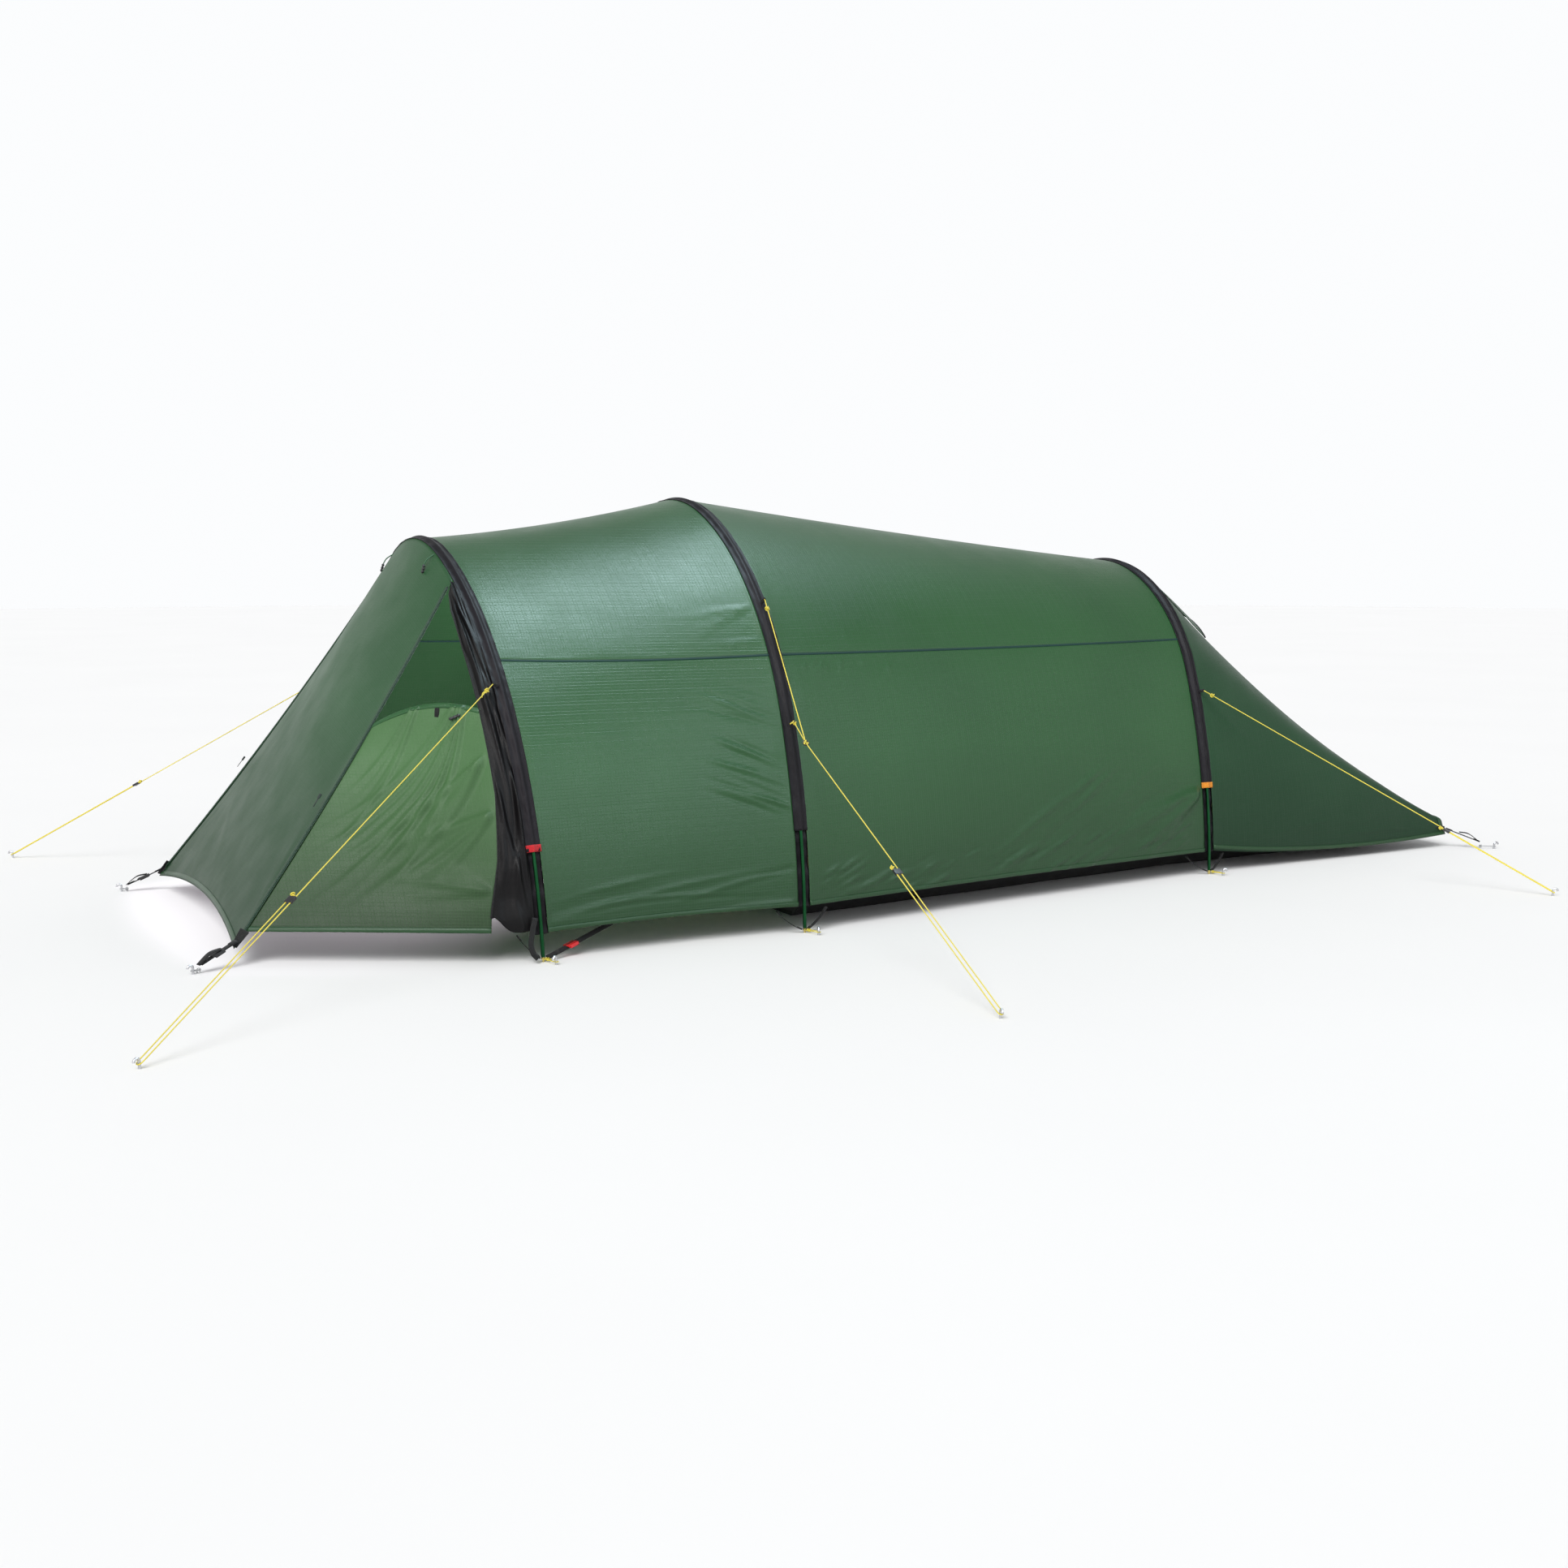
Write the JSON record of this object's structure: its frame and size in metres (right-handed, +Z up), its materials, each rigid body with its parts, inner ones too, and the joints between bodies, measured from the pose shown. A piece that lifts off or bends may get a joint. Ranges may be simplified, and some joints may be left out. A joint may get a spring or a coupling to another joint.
{
  "type": "tunnel tent",
  "caption": "Tunnel tent pitched on three arched poles, with a porch with two side doors, an inner tent, a tapered foot end, guy lines and pegs.",
  "frame": {"origin": "on the ground, at the middle of the box around the tent and its pegs", "axes": "+X from the porch to the foot end, +Y to the left looking in at the porch, +Z up"},
  "size_m": [4.4058, 3.6114, 1.126],
  "materials": {
    "fly_green": "coated ripstop nylon, soft sheen",
    "sleeve_black": "black nylon, soft sheen",
    "band_red": "red binding tape",
    "band_orange": "orange binding tape",
    "floor_black": "coated black nylon",
    "inner_cloth": "thin breathable polyester",
    "mesh_black": "insect mesh",
    "webbing_black": "woven webbing",
    "pole_green": "green anodised",
    "bare_alloy": "bare alloy",
    "tip_alloy": "turned tip",
    "shock_cord": "braided cover",
    "cord_yellow": "braided, reflective fleck",
    "plastic_black": "moulded",
    "plastic_red": "moulded",
    "zip_dark": "coil zip",
    "slider_metal": "painted alloy"
  },
  "bodies": {
    "root": {"pole_spigots": "bare_alloy", "shock_cords": "shock_cord", "pole_tips": "tip_alloy", "sleeve_bands_front": "band_red", "sleeve_bands_rear": "band_orange", "porch_roof": "fly_green", "cabin_roof": "fly_green", "foot_roof": "fly_green", "front_panel": "fly_green", "vent_hood": "fly_green", "vent_mesh": "mesh_black", "groundsheet": "floor_black", "inner_tent": "inner_cloth", "inner_front_wall": "inner_cloth", "door_zips": "zip_dark", "foot_straps_front": "webbing_black", "foot_straps_middle": "webbing_black", "foot_straps_rear": "webbing_black", "corner_straps": "webbing_black", "pegs": "bare_alloy", "peg_loops": "cord_yellow", "guy_loops": "webbing_black", "toggles": "plastic_black", "pole_front": "pole_green", "pole_middle": "pole_green", "pole_rear": "pole_green", "sleeve_front": "sleeve_black", "sleeve_middle": "sleeve_black", "sleeve_rear": "sleeve_black", "porch_wall_left": "fly_green", "porch_wall_right": "fly_green", "cabin_wall_left": "fly_green", "cabin_wall_right": "fly_green", "foot_wall_left": "fly_green", "foot_wall_right": "fly_green", "gusset_left": "sleeve_black", "gusset_right": "sleeve_black", "guyline_front_left": "cord_yellow", "guyline_front_right": "cord_yellow", "guyline_middle_left": "cord_yellow", "guyline_middle_right": "cord_yellow", "guyline_rear_left": "cord_yellow", "guyline_rear_right": "cord_yellow", "guyline_branch_left": "cord_yellow", "guyline_branch_right": "cord_yellow"},
    "inner_door": {"inner_door": "inner_cloth"},
    "door_left": {"door_left": "fly_green"},
    "door_right": {"door_right": "fly_green"},
    "zip_slider_left": {"zip_slider_left": "slider_metal"},
    "zip_slider_right": {"zip_slider_right": "slider_metal"},
    "red_buckle_left": {"red_buckle_left": "plastic_red"},
    "red_buckle_right": {"red_buckle_right": "plastic_red"},
    "corner_buckle_left": {"corner_buckle_left": "plastic_black"},
    "corner_buckle_right": {"corner_buckle_right": "plastic_black"},
    "tensioner_front_left": {"tensioner_front_left": "plastic_black"},
    "tensioner_front_right": {"tensioner_front_right": "plastic_black"},
    "tensioner_middle_left": {"tensioner_middle_left": "plastic_black"},
    "tensioner_middle_right": {"tensioner_middle_right": "plastic_black"},
    "tensioner_rear_left": {"tensioner_rear_left": "plastic_black"},
    "tensioner_rear_right": {"tensioner_rear_right": "plastic_black"}
  },
  "joints": [
    {"name": "door_left_swing", "type": "hinge", "parent": "root", "child": "door_left", "pos_m": [-1.284, 0.684, 0.34], "axis": [0, 0, 1], "range_deg": [0, 75]},
    {"name": "door_right_swing", "type": "hinge", "parent": "root", "child": "door_right", "pos_m": [-1.284, -0.684, 0.34], "axis": [0, 0, -1], "range_deg": [0, 75]},
    {"name": "inner_door_swing", "type": "hinge", "parent": "root", "child": "inner_door", "pos_m": [-0.41225, 0.27125, 0.35], "axis": [0, 0, -1], "range_deg": [0, 100]},
    {"name": "zip_left_slide", "type": "slide", "parent": "root", "child": "zip_slider_left", "axis": [-0.5701, 0.1997, -0.7969], "range_m": [-0.49, 0.32]},
    {"name": "zip_right_slide", "type": "slide", "parent": "root", "child": "zip_slider_right", "axis": [-0.5701, -0.1997, -0.7969], "range_m": [-0.49, 0.32]},
    {"name": "red_buckle_left_slide", "type": "slide", "parent": "root", "child": "red_buckle_left", "axis": [-0.886, 0.4055, -0.2248], "range_m": [-0.03, 0.03]},
    {"name": "red_buckle_right_slide", "type": "slide", "parent": "root", "child": "red_buckle_right", "axis": [-0.886, -0.4055, -0.2248], "range_m": [-0.03, 0.03]},
    {"name": "corner_buckle_left_slide", "type": "slide", "parent": "root", "child": "corner_buckle_left", "axis": [-0.8674, 0.276, -0.414], "range_m": [-0.03, 0.014]},
    {"name": "corner_buckle_right_slide", "type": "slide", "parent": "root", "child": "corner_buckle_right", "axis": [-0.8674, -0.276, -0.414], "range_m": [-0.03, 0.014]},
    {"name": "tensioner_front_left_slide", "type": "slide", "parent": "root", "child": "tensioner_front_left", "axis": [-0.6914, 0.5495, -0.4691], "range_m": [0, 0.15]},
    {"name": "tensioner_front_right_slide", "type": "slide", "parent": "root", "child": "tensioner_front_right", "axis": [-0.6914, -0.5495, -0.4691], "range_m": [0, 0.15]},
    {"name": "tensioner_middle_left_slide", "type": "slide", "parent": "root", "child": "tensioner_middle_left", "axis": [-0.0305, 0.8959, -0.4432], "range_m": [0, 0.15]},
    {"name": "tensioner_middle_right_slide", "type": "slide", "parent": "root", "child": "tensioner_middle_right", "axis": [-0.0305, -0.8959, -0.4432], "range_m": [0, 0.15]},
    {"name": "tensioner_rear_left_slide", "type": "slide", "parent": "root", "child": "tensioner_rear_left", "axis": [0.5416, 0.6959, -0.4717], "range_m": [0, 0.15]},
    {"name": "tensioner_rear_right_slide", "type": "slide", "parent": "root", "child": "tensioner_rear_right", "axis": [0.5416, -0.6959, -0.4717], "range_m": [0, 0.15]}
  ]
}
